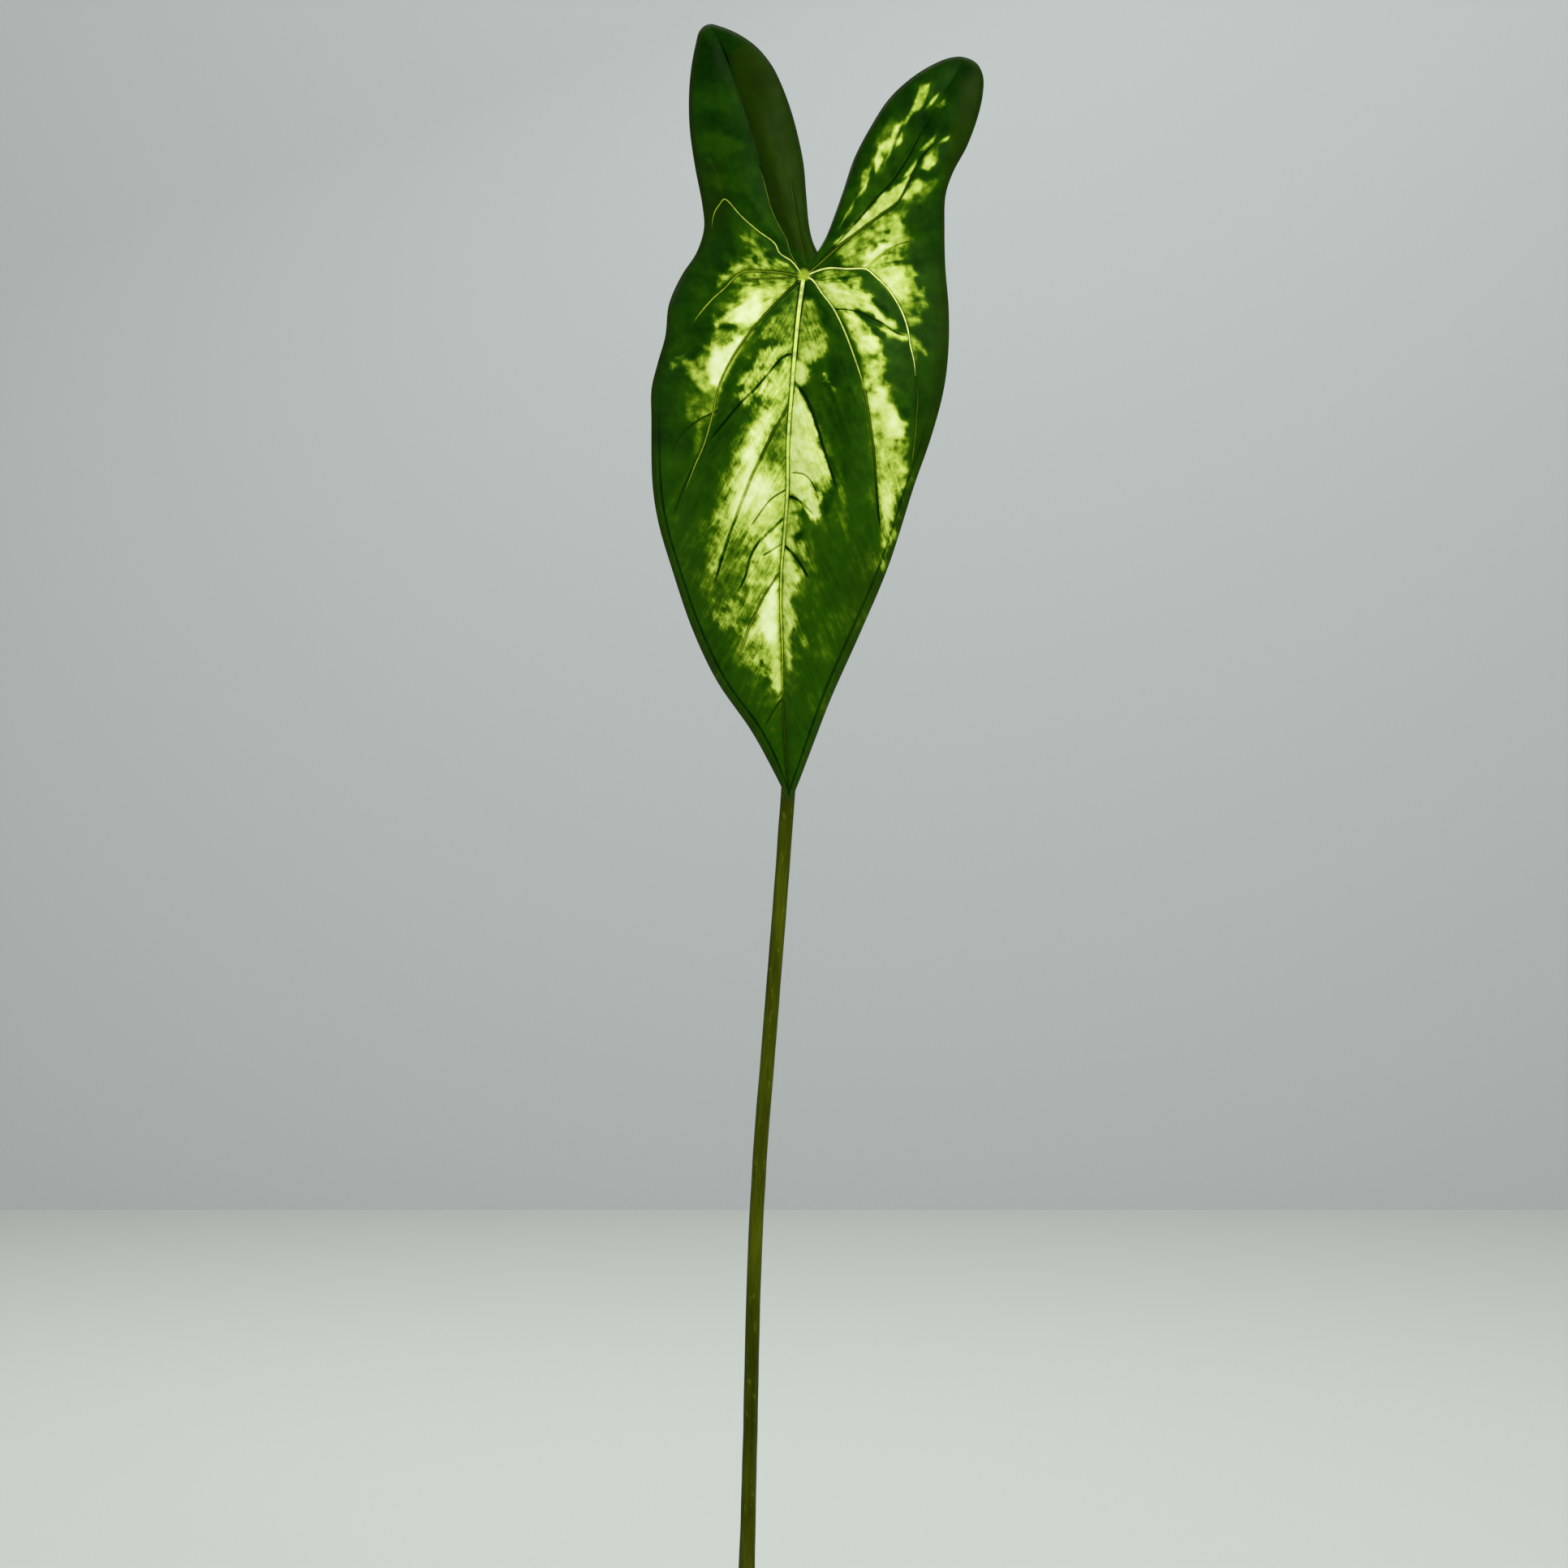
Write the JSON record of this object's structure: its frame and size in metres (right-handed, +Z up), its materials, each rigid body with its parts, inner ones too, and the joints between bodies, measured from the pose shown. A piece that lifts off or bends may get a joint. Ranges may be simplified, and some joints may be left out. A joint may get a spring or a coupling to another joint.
{
  "type": "potted taro plant",
  "caption": "Taro plant in a plain clay pot: a slim upright leaf stalk carries an arrowhead blade variegated in cream and dark green.",
  "frame": {"origin": "middle of the pot's flat underside", "axes": "+Z up along the plant, the blade's face looks along -Y, +X to the right of someone facing it"},
  "size_m": [0.189, 0.17, 0.8535],
  "materials": {
    "terracotta": "matte unglazed clay, mottled, with paler wear on the rim",
    "potting_soil": "rough, damp crumbs with bark chips and white perlite",
    "corm_skin": "ringed, fibrous brown skin",
    "stalk_green": "satin olive green",
    "variegated_leaf": "satin leaf skin, dark green with cream and yellow-green patches"
  },
  "bodies": {
    "root": {"pot": "terracotta", "soil": "potting_soil", "corm": "corm_skin", "leaf_stalk": "stalk_green", "leaf_blade": "variegated_leaf"}
  },
  "joints": []
}
